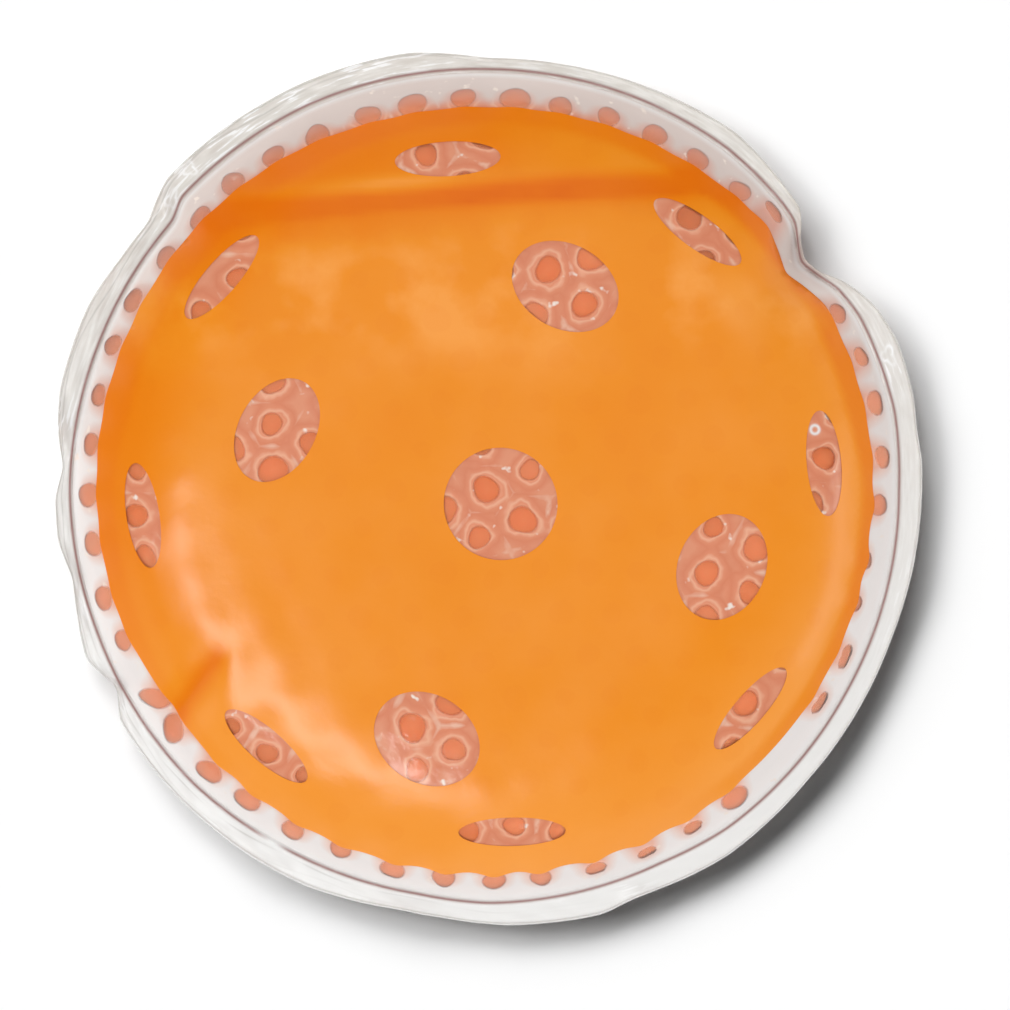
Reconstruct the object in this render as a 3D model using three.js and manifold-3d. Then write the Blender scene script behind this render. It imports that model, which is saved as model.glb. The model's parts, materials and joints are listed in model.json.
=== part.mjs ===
// Round gel-bead hot and cold pack with a pickleball print, lying on its back film.
//
// Units are millimetres and +Z is up. The pack lies on the plane z = 0 with its printed side up, and +Y
// is the top of the print. The origin is the middle of the bounding box's bottom.
//
// From the bottom up the pack is: a clear back film, a lower and an upper layer of gel beads, a clear
// front film, and an ink layer on the front film. Towards the rim the two layers step down into one row
// on the shoulder and one row against the weld. The two films meet in a flange round the rim, where a
// fused band joins them.

import * as THREE from 'three';
import { mergeVertices } from 'three/addons/utils/BufferGeometryUtils.js';
import Module from 'manifold-3d';

const wasm = await Module();
wasm.setup();

// ---- Driving dimensions ----

const PACK_RADIUS = 57.15; // outer edge of the flange, for a pack 114.3 mm across
const WELD_RADIUS = 54.4; // inner line of the fused band
const PRINT_RADIUS = 50.5; // edge of the printed disc
const FILM_THICKNESS = 0.4;
const WELD_THICKNESS = 0.3;
const WELD_HEIGHT = 3.3; // middle of the fused band above the surface the pack lies on
const ROUND_STEPS = 60; // facets round the pack, one every 6 degrees

const INK_GAP = 0.3; // clearance between the front film and the ink layer
const INK_THICKNESS = 0.25;

const BEAD_RADIUS = 2.8; // a loose bead is 3.25, but soft beads press flat where they meet
const BEAD_PITCH = 6.5; // along a row
const ROW_PITCH = 6.2; // from one row to the next
const NECK_RADIUS = 0.8; // where two neighbours of one row are pressed together
const BEAD_SIDES = 5;
const ROW_END_GAP = 0.4; // between the first and the last bead of a ring
const ROWS_PER_LAYER = 7;
const RIM_ROW = { radius: 49.9, height: 3.4 };
const SHOULDER_ROW = { radius: 45.4, height: 6.95 };
const UPPER_LAYER = { outerRadius: 39.9, height: 9.15 };
const LOWER_LAYER = { outerRadius: 40.9, height: 3.4 };

// Where the rim is pinched inward, and how far either side the outer rows have no beads, in degrees.
const NOTCH_ANGLE = 36;
const NOTCH_CLEARANCE = 10;

const FRONT_FLANGE_TOP = WELD_HEIGHT + WELD_THICKNESS / 2 + FILM_THICKNESS;
const BACK_FLANGE_BOTTOM = WELD_HEIGHT - WELD_THICKNESS / 2 - FILM_THICKNESS;

// Profiles of the films' outer surfaces, as [distance from the middle, height]. The dome is the part of
// the front film that the print covers.
const FRONT_DOME = [
  [0, 13.2],
  [15, 13.15],
  [30, 12.9],
  [42, 12.4],
  [47, 10.0],
  [PRINT_RADIUS, 7.4],
];
const FRONT_SHOULDER = [
  [52.5, 5.9],
  [53.7, 4.9],
  [WELD_RADIUS, FRONT_FLANGE_TOP],
  [PACK_RADIUS, FRONT_FLANGE_TOP],
];
const BACK_PROFILE = [
  [0, 0],
  [50.2, 0],
  [52.4, 0.55],
  [53.7, 1.5],
  [WELD_RADIUS, BACK_FLANGE_BOTTOM],
  [PACK_RADIUS, BACK_FLANGE_BOTTOM],
];

// The rim isn't a true circle. Each dent has the angle it is at, its half width in degrees, and how far
// it pulls the outer edge and the weld line inward. A negative pull is a bulge.
const RIM_DENTS = [
  { angle: NOTCH_ANGLE, halfWidth: 5, edge: 5.0, weld: 3.3 },
  { angle: 120, halfWidth: 20, edge: -1.4, weld: -0.7 },
  { angle: 192, halfWidth: 9, edge: 1.1, weld: 0.2 },
  { angle: 210, halfWidth: 5, edge: 1.3, weld: 0.2 },
  { angle: 258, halfWidth: 10, edge: 0.7, weld: 0.3 },
  { angle: 335, halfWidth: 18, edge: 0.8, weld: 0.4 },
];
const DENT_FADE_RADIUS = 38; // inside this radius the pack is round

// The clear windows lie as round holes do on a ball seen from the front: one in the middle, and two
// rings at a tilt from it. All are set out from the middle of their ring.
const PRINTED_BALL_RADIUS = 47.4;
const WINDOW_RINGS = [
  { count: 1, tilt: 0, firstAngle: 0, radius: 7.6, middle: [1.6, -1.9] },
  { count: 4, tilt: 40.8, firstAngle: 73, radius: 7.6, middle: [1.4, -1.9] },
  { count: 8, tilt: 70.6, firstAngle: 5.2, radius: 7.0, middle: [-0.7, -0.3] },
];
const WINDOW_SEGMENTS = 10; // half the number of facets round a window
const WINDOW_PLUG_HEIGHT = 30; // taller than the pack, so that a plug cuts right through the print

// ---- Materials ----

const clearVinyl = new THREE.MeshStandardMaterial({
  name: 'clear_vinyl',
  color: '#ece6df',
  roughness: 0.15,
  metalness: 0,
  transparent: true,
  opacity: 0.35,
});
const orangeInk = new THREE.MeshStandardMaterial({
  name: 'orange_ink',
  color: '#ee8f34',
  roughness: 0.4,
  metalness: 0,
});
const salmonGel = new THREE.MeshStandardMaterial({
  name: 'salmon_gel',
  color: '#e08c6c',
  roughness: 0.2,
  metalness: 0,
});

// ---- Shared shapes ----

function toPoints(profile) {
  return profile.map(([radius, height]) => new THREE.Vector2(radius, height));
}

// Moves a profile sideways by a distance, to its left as it runs outward, which is up. Both ends keep
// to their own radius, because they lie on level stretches.
function offsetProfile(points, distance) {
  const normals = points.slice(1).map((point, i) => {
    const along = point.clone().sub(points[i]).normalize();
    return new THREE.Vector2(-along.y, along.x);
  });
  return points.map((point, i) => {
    if (i === 0 || i === points.length - 1) {
      return new THREE.Vector2(point.x, point.y + distance);
    }
    const before = normals[i - 1];
    const after = normals[i];
    const mitre = before.clone().add(after).divideScalar(1 + before.dot(after));
    return point.clone().addScaledVector(mitre, distance);
  });
}

// Turns a closed profile, given anticlockwise, round the Z axis.
function turned(points) {
  return new THREE.LatheGeometry(points, ROUND_STEPS).rotateX(Math.PI / 2);
}

// A sheet that follows a profile, between two distances to its left.
function turnedSheet(profile, from, to) {
  const points = toPoints(profile);
  const lower = offsetProfile(points, from);
  const upper = offsetProfile(points, to);
  return turned([...lower, ...upper.reverse()]);
}

function dentDepth(angle, key) {
  return RIM_DENTS.reduce((depth, dent) => {
    const away = THREE.MathUtils.euclideanModulo(angle - dent.angle + 180, 360) - 180;
    return depth + dent[key] * Math.exp(-((away / dent.halfWidth) ** 2));
  }, 0);
}

// Pulls the rim of a round geometry in where the pack is dented.
function dentRim(geometry) {
  const position = geometry.attributes.position;
  for (let i = 0; i < position.count; i += 1) {
    const x = position.getX(i);
    const y = position.getY(i);
    const radius = Math.hypot(x, y);
    if (radius > DENT_FADE_RADIUS) {
      const angle = THREE.MathUtils.radToDeg(Math.atan2(y, x));
      const weldDent = dentDepth(angle, 'weld');
      const edgeDent = dentDepth(angle, 'edge');
      const inside = THREE.MathUtils.smoothstep(radius, DENT_FADE_RADIUS, WELD_RADIUS);
      const across = THREE.MathUtils.clamp((radius - WELD_RADIUS) / (PACK_RADIUS - WELD_RADIUS), 0, 1);
      const dented = radius - THREE.MathUtils.lerp(weldDent * inside, edgeDent, across);
      position.setXY(i, (x * dented) / radius, (y * dented) / radius);
    }
  }
  return geometry;
}

// ---- Boolean cuts ----

function toSolid(geometry) {
  const bare = geometry.clone();
  bare.deleteAttribute('normal');
  bare.deleteAttribute('uv');
  const merged = mergeVertices(bare);
  const corners = merged.index.array;
  const kept = [];
  for (let i = 0; i < corners.length; i += 3) {
    const [a, b, c] = corners.slice(i, i + 3);
    if (a !== b && b !== c && c !== a) {
      kept.push(a, b, c);
    }
  }
  return new wasm.Manifold(new wasm.Mesh({
    numProp: 3,
    vertProperties: new Float32Array(merged.attributes.position.array),
    triVerts: new Uint32Array(kept),
  }));
}

function toGeometry(solid) {
  const mesh = solid.getMesh();
  const geometry = new THREE.BufferGeometry();
  geometry.setAttribute('position', new THREE.BufferAttribute(mesh.vertProperties, 3));
  geometry.setIndex(new THREE.BufferAttribute(mesh.triVerts, 1));
  geometry.computeVertexNormals();
  return geometry;
}

// ---- Films, weld and print ----

function frontFilmGeometry() {
  return dentRim(turnedSheet([...FRONT_DOME, ...FRONT_SHOULDER], -FILM_THICKNESS, 0));
}

function backFilmGeometry() {
  return dentRim(turnedSheet(BACK_PROFILE, 0, FILM_THICKNESS));
}

function edgeWeldGeometry() {
  const bottom = WELD_HEIGHT - WELD_THICKNESS / 2;
  const top = WELD_HEIGHT + WELD_THICKNESS / 2;
  const section = [
    [WELD_RADIUS, bottom],
    [PACK_RADIUS, bottom],
    [PACK_RADIUS, top],
    [WELD_RADIUS, top],
    [WELD_RADIUS, bottom],
  ];
  return dentRim(turned(toPoints(section)));
}

// One window: an upright elliptical plug, long side across the line from the ring's middle.
function windowPlug(ring, index) {
  const tilt = THREE.MathUtils.degToRad(ring.tilt);
  const angle = THREE.MathUtils.degToRad(ring.firstAngle) + (2 * Math.PI * index) / ring.count;
  const distance = PRINTED_BALL_RADIUS * Math.sin(tilt);
  const outline = new THREE.Shape();
  outline.absellipse(
    ring.middle[0] + distance * Math.cos(angle),
    ring.middle[1] + distance * Math.sin(angle),
    ring.radius * Math.cos(tilt),
    ring.radius,
    0,
    2 * Math.PI,
    false,
    angle,
  );
  return new THREE.ExtrudeGeometry(outline, {
    depth: WINDOW_PLUG_HEIGHT,
    bevelEnabled: false,
    curveSegments: WINDOW_SEGMENTS,
  });
}

function printGeometry() {
  const disc = dentRim(turnedSheet(FRONT_DOME, INK_GAP, INK_GAP + INK_THICKNESS));
  let print = toSolid(disc);
  for (const ring of WINDOW_RINGS) {
    for (let i = 0; i < ring.count; i += 1) {
      print = print.subtract(toSolid(windowPlug(ring, i)));
    }
  }
  return toGeometry(print);
}

// ---- Gel beads ----

// A row of beads in contact, made as a straight string along Y and then bent round the Z axis. The
// string is given by the radius of its ring, its height, its bead count and the angles it runs between.
function beadRowGeometry(ringRadius, height, count, startAngle, endAngle) {
  const pitch = (ringRadius * THREE.MathUtils.degToRad(endAngle - startAngle)) / count;
  const bellyOffset = pitch / 6;
  const endReach = Math.min(BEAD_RADIUS, (pitch - ROW_END_GAP) / 2);
  const profile = [[0, pitch / 2 - endReach]];
  for (let i = 0; i < count; i += 1) {
    const middle = (i + 0.5) * pitch;
    profile.push([BEAD_RADIUS, middle - bellyOffset], [BEAD_RADIUS, middle + bellyOffset]);
    if (i < count - 1) {
      profile.push([NECK_RADIUS, (i + 1) * pitch]);
    }
  }
  profile.push([0, (count - 0.5) * pitch + endReach]);

  const geometry = new THREE.LatheGeometry(toPoints(profile), BEAD_SIDES);
  const position = geometry.attributes.position;
  const start = THREE.MathUtils.degToRad(startAngle);
  for (let i = 0; i < position.count; i += 1) {
    const angle = start + position.getY(i) / ringRadius;
    const radius = ringRadius + position.getX(i);
    const z = height + position.getZ(i);
    position.setXYZ(i, radius * Math.cos(angle), radius * Math.sin(angle), z);
  }
  geometry.computeVertexNormals();
  return geometry;
}

function closedRowGeometry(ringRadius, height) {
  const count = Math.round((2 * Math.PI * ringRadius) / BEAD_PITCH);
  return beadRowGeometry(ringRadius, height, count, 0, 360);
}

// A row that stops short of the notch on both sides.
function notchedRowGeometry(row) {
  const start = NOTCH_ANGLE + NOTCH_CLEARANCE;
  const end = NOTCH_ANGLE - NOTCH_CLEARANCE + 360;
  const length = row.radius * THREE.MathUtils.degToRad(end - start);
  const count = Math.round(length / BEAD_PITCH);
  return beadRowGeometry(row.radius, row.height, count, start, end);
}

// ---- Assembly ----

const pack = new THREE.Group();

function addPiece(name, geometry, material) {
  const mesh = new THREE.Mesh(geometry, material);
  mesh.name = name;
  pack.add(mesh);
}

// Rows are numbered from the rim inward.
function addLayer(name, layer) {
  for (let row = 0; row < ROWS_PER_LAYER; row += 1) {
    const radius = layer.outerRadius - row * ROW_PITCH;
    addPiece(`${name}_${row + 1}`, closedRowGeometry(radius, layer.height), salmonGel);
  }
}

addPiece('back_film', backFilmGeometry(), clearVinyl);
addPiece('edge_weld', edgeWeldGeometry(), clearVinyl);
addPiece('front_film', frontFilmGeometry(), clearVinyl);
addPiece('ball_print', printGeometry(), orangeInk);

addPiece('rim_beads', notchedRowGeometry(RIM_ROW), salmonGel);
addPiece('shoulder_beads', notchedRowGeometry(SHOULDER_ROW), salmonGel);
addLayer('lower_beads', LOWER_LAYER);
addLayer('upper_beads', UPPER_LAYER);

// The dents move the box's middle a little off the pack's own centre line.
const box = new THREE.Box3().setFromObject(pack);
const middle = box.getCenter(new THREE.Vector3());
pack.position.set(-middle.x, -middle.y, -box.min.z);

export default pack;
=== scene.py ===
"""Round gel-bead hot and cold pack with a pickleball print, lying face up and seen from above.

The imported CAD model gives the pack's place and outer size. The soft pieces are made here as fine
meshes, in millimetres from the pack's middle, and moved into the frame as they are built:

- a clear front film and a clear back film, thin closed sheets
- an ink layer on the front film, with thirteen windows cut in it
- the fused band round the rim, with its raised weld line
- rows of gel beads, each pressed flat where it touches the film
"""
import json
import math
from functools import partialmethod

import bpy
import numpy as np
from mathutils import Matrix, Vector
from mathutils.geometry import delaunay_2d_cdt

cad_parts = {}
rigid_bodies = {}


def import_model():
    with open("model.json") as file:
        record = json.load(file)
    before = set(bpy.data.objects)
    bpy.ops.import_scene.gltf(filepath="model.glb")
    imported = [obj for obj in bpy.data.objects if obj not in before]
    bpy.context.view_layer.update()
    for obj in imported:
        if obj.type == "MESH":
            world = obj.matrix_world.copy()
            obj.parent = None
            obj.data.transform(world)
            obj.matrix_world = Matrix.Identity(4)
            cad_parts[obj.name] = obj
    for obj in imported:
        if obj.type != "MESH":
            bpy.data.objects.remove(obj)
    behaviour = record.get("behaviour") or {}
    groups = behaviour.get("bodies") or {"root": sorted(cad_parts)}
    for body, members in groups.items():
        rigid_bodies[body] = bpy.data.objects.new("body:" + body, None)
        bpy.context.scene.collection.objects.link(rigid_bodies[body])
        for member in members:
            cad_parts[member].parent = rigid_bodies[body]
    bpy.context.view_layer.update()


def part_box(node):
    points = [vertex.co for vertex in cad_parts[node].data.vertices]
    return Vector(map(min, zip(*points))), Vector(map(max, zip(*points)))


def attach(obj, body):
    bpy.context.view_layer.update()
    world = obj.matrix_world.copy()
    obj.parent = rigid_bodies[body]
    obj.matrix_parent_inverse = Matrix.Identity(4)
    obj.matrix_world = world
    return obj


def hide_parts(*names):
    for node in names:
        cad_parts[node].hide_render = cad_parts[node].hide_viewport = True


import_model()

MM = 0.001
SEED = 11

# ---- Sizes, in millimetres ----

low_corner, high_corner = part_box("upper_beads_1")
PACK_MIDDLE = (low_corner + high_corner) / 2
DOME_CLEARANCE = 0.3  # room over the dome for its bumps and the ink
TOP_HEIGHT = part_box("front_film")[1].z / MM - DOME_CLEARANCE

WELD_RADIUS = 54.4
WELD_HEIGHT = 3.3
FILM_THICKNESS = 0.3
INK_THICKNESS = 0.06
INK_LIFT = 0.04
BAND_THICKNESS = 0.5
DOME_POWER = 7.0  # how late the dome falls away: higher is flatter on top and steeper at the rim
DOME_FALL = 1.1

BEAD_ACROSS = 3.2  # half of a bead's width
BEAD_ALONG = 2.9  # half of its height, pressed under the front film
LOWER_BEAD_ALONG = 3.2  # the same for a bead of the lower layer
LAYERS_MEET = 6.4  # height at which the two layers touch
BEAD_PITCH = 6.45
LAYER_ROWS = 7
LAYER_REACH = 46.6  # how far out a bead of the upper layer can touch the film
LOOSE_JITTER = 0.9  # how far an unseen bead may lie from its place in a grid
LOOSE_PATCHES = (1.3, 1.95)  # least and greatest radius of an unseen bead's flat spot
SEEN_CLEARANCE = 4.3  # no unseen bead starts nearer than this to a seen one
NOTCH_ANGLE = 36.0

# The rim as it wanders round the pack: (angle in degrees, radius).
EDGE_OUTLINE = [
    (4, 57.2), (8, 56.9), (12, 57.3), (20, 57.3), (25, 56.5), (28, 55.4), (31, 53.8), (34, 51.5),
    (36, 51.0), (38, 51.8), (40, 53.8), (42, 55.3), (46, 55.9), (55, 57.2), (75, 56.9), (90, 56.8),
    (95, 57.6), (100, 58.4), (115, 58.9), (136, 58.9), (139, 57.9), (142, 57.0), (148, 57.2),
    (155, 58.0), (167, 58.0), (172, 57.2), (177, 56.1), (181, 57.1), (187, 57.1), (192, 55.9),
    (196, 56.5), (203, 57.6), (208, 55.3), (212, 57.3), (225, 57.6), (245, 57.5), (258, 56.5),
    (264, 56.7), (272, 57.4), (285, 57.9), (290, 57.1), (303, 57.6), (318, 56.8), (340, 56.6),
]
WELD_OUTLINE = [
    (0, 53.9), (11, 54.3), (25, 53.8), (30, 52.9), (33, 51.6), (36, 50.7), (38, 51.6), (41, 53.4),
    (44, 53.9), (55, 54.7), (70, 55.0), (90, 55.2), (115, 55.8), (136.5, 55.7), (139.5, 54.5),
    (160, 54.7), (180, 55.0), (200, 54.7), (225, 54.7), (240, 54.2), (260, 53.9), (270, 54.3),
    (295, 54.0), (305, 54.4), (330, 54.0),
]
PRINT_OUTLINE = [
    (0, 50.5), (29, 50.4), (33, 49.3), (36, 48.3), (39, 49.2), (43, 50.3), (60, 50.2), (90, 50.1),
    (105, 50.3), (120, 51.0), (140, 51.6), (165, 51.6), (200, 51.2), (209, 50.6), (214, 50.1),
    (222, 50.5), (300, 50.6),
]

# The printed windows: (x, y, half length, half width, direction of the length in degrees). They lie
# as round holes do on a ball seen from the front, so those near the edge are narrow.
WINDOWS = [
    (1.6, -1.9, 7.4, 7.3, 165),
    # the four round the middle one, from the top one anticlockwise
    (10.0, 26.4, 7.3, 5.5, 152), (-27.5, 7.7, 7.2, 5.0, 61), (-8.0, -32.5, 7.2, 5.8, 150),
    (30.4, -10.1, 7.1, 5.7, 66),
    # the outer ones, from the right-hand one anticlockwise
    (43.8, 3.4, 6.9, 2.3, 95), (27.3, 33.6, 6.9, 2.2, 144), (-5.3, 43.1, 6.9, 2.3, 3),
    (-34.8, 27.7, 7.0, 2.2, 49), (-45.1, -3.4, 6.9, 2.2, 99), (-29.0, -33.5, 6.9, 2.2, 139),
    (3.1, -44.7, 7.0, 1.9, 1), (34.2, -28.6, 6.9, 2.0, 49),
]

# Beads that show in the windows: where each touches the film, and the radius of its flat spot.
SEEN_BEADS = [
    # middle window
    (4.5, -4.0, 1.9), (-0.3, -0.0, 1.8), (5.4, 2.5, 1.4), (-5.8, -2.7, 1.9), (-1.0, 6.0, 1.6),
    # the four windows round it, from the top one anticlockwise
    (7.8, 28.6, 1.8), (12.5, 24.1, 1.75), (13.4, 30.2, 1.9), (6.2, 22.7, 1.7),
    (-28.2, 8.5, 1.5), (-28.0, 2.5, 2), (-28.1, 14.0, 1.7), (-33.2, 5.3, 1.7), (-23.1, 5.9, 1.6),
    (-9.9, -31.0, 1.95), (-4.5, -33.9, 1.6), (-4.9, -27.7, 1.9), (-9.3, -36.6, 1.6),
    (29.3, -4.9, 1.4), (28.4, -10.9, 1.7), (34.8, -7.7, 1.8), (34.1, -13.5, 1.6), (28.4, -16.7, 1.7),
    # the outer windows, from the right-hand one anticlockwise
    (43.8, 4.1, 1.65), (42.4, -1.9, 1.6),
    (26.3, 35.6, 1.9), (22.1, 31.9, 1.5), (28.0, 29.6, 1.7),
    (-8.1, 43.7, 1.6), (-3.1, 39.7, 1.7),
    (-32.6, 27.5, 1.6), (-37.5, 23.1, 1.6),
    (-45.9, 2.4, 1.3), (-46.0, -3.4, 1.7), (-44.8, -9.0, 1.7),
    (-33.6, -31.0, 1.3), (-28.9, -34.5, 1.5), (-24.0, -37.3, 1.3),
    (-2.6, -44.6, 1.6), (3.4, -43.9, 1.5), (9.2, -44.5, 1.5),
    (33.6, -28.0, 1.8),
]

# The rim row: runs of evenly spaced beads, with the notch and one other long gap between them.
RIM_RUNS = [  # (first angle, last angle, number of beads)
    (44, 44, 1), (50, 202.7, 22), (211.8, 217.2, 2), (225, 308.5, 12), (327.5, 387, 9),
]
RIM_CONTACT_RADIUS = 51.3
RIM_CONTACT_SHIFTS = [  # (angle, half width in degrees, outward shift)
    (10, 16, 0.7), (44, 4, 0.9), (125, 8, 1.0), (157, 18, 1.9), (190, 14, 1.3), (222, 14, 0.8),
    (300, 14, 0.6), (332, 7, 0.45), (349, 9, -1.0),
]
RIM_PATCH = 1.5
RIM_PATCH_SHIFTS = [
    (44, 3, -0.2), (95, 42, 0.35), (170, 26, 0.15), (218, 16, 0.45), (250, 12, 0.25), (294, 10, -0.4),
    (308.5, 3, 0.45), (338, 14, -0.35),
]
RIM_STRETCHES = [  # (first angle, last angle, length over width, turn of the length from the rim's direction)
    (40, 48, 1.9, -15), (209, 214.5, 1.8, 50), (214.5, 220, 1.6, -55), (284, 304, 1.6, 0),
    (325, 340, 1.9, 0),
]


# ---- The pack's shape ----


def smooth(low, high, value):
    """0 before low and 1 past high, with a smooth rise between. Low may be the larger one."""
    t = np.clip((value - low) / (high - low), 0, 1)
    return t * t * (3 - 2 * t)


def bell(distance, half_width):
    """1 in the middle, falling smoothly on both sides: 0.37 at the half width."""
    return np.exp(-((distance / half_width) ** 2))


def turn_between(angle, place):
    """The signed turn in degrees from place to angle, from -180 to 180."""
    return (angle - place + 180) % 360 - 180


def strayed(angle, shifts):
    """The sum of the shifts, each a bell round its own angle in degrees."""
    return sum(shift * bell(turn_between(angle, place), width) for place, width, shift in shifts)


def polar(x, y):
    return np.hypot(x, y), np.degrees(np.arctan2(y, x))


def from_polar(radius, angle):
    turn = np.radians(angle)
    return np.stack([radius * np.cos(turn), radius * np.sin(turn)], -1)


OUTLINE_STEP = 0.25


def rounded_outline(outline):
    """Radius as a function of angle: the outline's points joined, with their corners rounded."""
    angles = np.arange(0, 360, OUTLINE_STEP)
    places, radii = zip(*outline)
    joined = np.interp(angles, places, radii, period=360)
    spread = range(-6, 7)
    weights = [bell(step * OUTLINE_STEP, 0.9) for step in spread]
    rounded = sum(w * np.roll(joined, step) for w, step in zip(weights, spread)) / sum(weights)
    return lambda angle: np.interp(angle, angles, rounded, period=360)


edge_radius = rounded_outline(EDGE_OUTLINE)
weld_radius = rounded_outline(WELD_OUTLINE)
print_edge = rounded_outline(PRINT_OUTLINE)


def share_out(x, y):
    """How far out a point is, from 0 in the middle to 1 on the weld line."""
    radius, angle = polar(x, y)
    pulled = smooth(0.6, 1.0, radius / WELD_RADIUS)
    return radius / (WELD_RADIUS + pulled * (weld_radius(angle) - WELD_RADIUS))


def fold_line(x):
    """The soft fold that crosses the upper part of the print."""
    return 38.4 + 0.06 * x - 0.0005 * x**2


def tuck_angle(radius):
    """Where the short tuck at the lower left runs: it bends round the pack on its way out."""
    return 213.5 + 0.5 * (radius - 45)


def folds(x, y):
    """The fold across the print, the pinch that runs in from the notch, and the slack lower left."""
    along = smooth(-44, -30, x) * (1 - smooth(22, 36, x))
    beside = y - fold_line(x)
    height = along * (0.12 * bell(beside - 2.4, 1.6) - 0.06 * bell(beside, 2.0))
    radius, angle = polar(x, y)
    height -= 0.7 * bell(turn_between(angle, NOTCH_ANGLE), 4.5) * smooth(38, 54, radius)
    height -= 0.8 * bell(turn_between(angle, tuck_angle(radius)), 2.6) * smooth(37, 46, radius)
    height += 0.4 * bell(turn_between(angle, tuck_angle(radius) + 6), 4.0) * smooth(36, 46, radius)
    return height


def slack(x, y):
    """Gentle unevenness of a film that isn't quite taut, most of all at its lower left shoulder."""
    waves = 0.11 * np.sin(0.23 * x + 0.11 * y + 0.7) * np.sin(0.17 * y - 0.05 * x + 2.1)
    waves += 0.06 * np.sin(0.31 * x - 0.27 * y + 1.3)
    radius, angle = polar(x, y)
    puckers = np.sin(0.55 * x - 0.35 * y + 0.4) * np.sin(0.3 * x + 0.62 * y + 1.1)
    return waves + 0.07 * puckers * bell(turn_between(angle, 228), 38) * smooth(24, 34, radius)


def dome(x, y):
    """Height of the front film, without the beads' bumps."""
    out = share_out(x, y)
    fall = 1 - np.clip(out, 0, 1) ** DOME_POWER
    taut = WELD_HEIGHT + (TOP_HEIGHT - WELD_HEIGHT) * fall**DOME_FALL
    return taut + (1 - smooth(0.94, 1.0, out)) * (folds(x, y) + slack(x, y))


def dome_normal(x, y, step=0.05):
    slope_x = (dome(x + step, y) - dome(x - step, y)) / (2 * step)
    slope_y = (dome(x, y + step) - dome(x, y - step)) / (2 * step)
    normal = np.stack([-slope_x, -slope_y, np.ones_like(slope_x)], -1)
    return normal / np.linalg.norm(normal, axis=-1, keepdims=True)


# ---- Beads: where they touch the front film ----


def random_for(name):
    return np.random.default_rng([SEED, *name.encode()])


def frame_radius(node):
    """The distance of a CAD bead row from the pack's middle, to the middle of its beads."""
    low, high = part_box(node)
    outer = max(high.x - PACK_MIDDLE.x, PACK_MIDDLE.x - low.x) / MM
    return outer - (high.z - low.z) / MM / 2


SETTLING_STEPS = 120
SETTLING_SHARE = 0.35  # how much of an overlap each of two beads gives way in a step


def pushed_apart(places, fixed):
    """Places moved until they lie about a bead apart, as settled beads do. The first ones are fixed."""
    not_itself = np.eye(len(places)) * 99
    for _ in range(SETTLING_STEPS):
        gap = places[:, None, :] - places[None, :, :]
        distance = np.hypot(gap[..., 0], gap[..., 1]) + not_itself
        overlap = np.clip(BEAD_PITCH - distance, 0, None)
        push = (gap / distance[..., None] * overlap[..., None] * SETTLING_SHARE).sum(1)
        push[:fixed] = 0
        places = places + push
        reach = np.hypot(*places.T)
        too_far = (reach > LAYER_REACH) & (np.arange(len(places)) >= fixed)
        places[too_far] *= (LAYER_REACH / reach[too_far])[:, None]
    return places


def upper_layer():
    """Where the upper beads touch the film: those seen in the windows, and others settled round them."""
    rng = random_for("upper layer")
    seen = np.array(SEEN_BEADS)
    loose = grid_points(LAYER_REACH, BEAD_PITCH * 0.985)
    loose = loose + rng.uniform(-LOOSE_JITTER, LOOSE_JITTER, loose.shape)
    from_seen = np.hypot(*(loose[:, None, :] - seen[None, :, :2]).transpose(2, 0, 1)).min(1)
    clear = from_seen > SEEN_CLEARANCE
    places = pushed_apart(np.concatenate([seen[:, :2], loose[clear]]), len(seen))
    patches = np.concatenate([seen[:, 2], rng.uniform(*LOOSE_PATCHES, clear.sum())])
    return places, patches


def rim_row():
    """Where the rim beads touch the film, and the radii of their flat spots."""
    rng = random_for("rim")
    angles = np.concatenate([np.linspace(*run) for run in RIM_RUNS])
    angles = angles + rng.uniform(-0.5, 0.5, len(angles))
    radius = RIM_CONTACT_RADIUS + strayed(angles, RIM_CONTACT_SHIFTS) + rng.uniform(-0.25, 0.25, len(angles))
    patches = (RIM_PATCH + strayed(angles, RIM_PATCH_SHIFTS)) * rng.uniform(0.9, 1.12, len(angles))
    return from_polar(radius, angles), patches


def grid_points(reach, spacing):
    """Points of a triangular grid inside a circle."""
    rise = spacing * math.sqrt(3) / 2
    count = int(reach / spacing) + 2
    i, j = np.meshgrid(np.arange(-count, count + 1), np.arange(-2 * count, 2 * count + 1))
    x = (i + 0.5 * (j % 2)) * spacing
    y = j * rise
    inside = np.hypot(x, y) < reach
    return np.stack([x[inside], y[inside]], -1)


UPPER_PLACES, UPPER_PATCHES = upper_layer()
RIM_PLACES, RIM_PATCHES = rim_row()
RIM_REACH, RIM_ANGLES = polar(*RIM_PLACES.T)


def print_radius(angle):
    """The ink stops in scallops: it is stretched out over each rim bead and drawn in between two."""
    over = bell(turn_between(angle[:, None], RIM_ANGLES), 1.9).max(1)
    depth = 0.14 + strayed(angle, [(276, 30, 0.5), (352, 9, 0.35), (232, 10, 0.2)])
    return print_edge(angle) + depth * (over - 0.5)


def blush_distance(x, y):
    """How far a point is from the pink of a rim bead, which spreads inwards from its flat spot."""
    radius, angle = polar(x, y)
    inward = RIM_REACH - radius[:, None]
    beside = np.abs(np.radians(turn_between(angle[:, None], RIM_ANGLES))) * radius[:, None]
    beside = np.clip(beside - 0.45 * np.clip(inward, 0, None), 0, None)
    return np.minimum(np.hypot(beside, 2.2 * np.clip(-inward, 0, None)).min(1), 6.0)


CONTACTS = np.concatenate([UPPER_PLACES, RIM_PLACES])
PATCHES = np.concatenate([UPPER_PATCHES, RIM_PATCHES])


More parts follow.
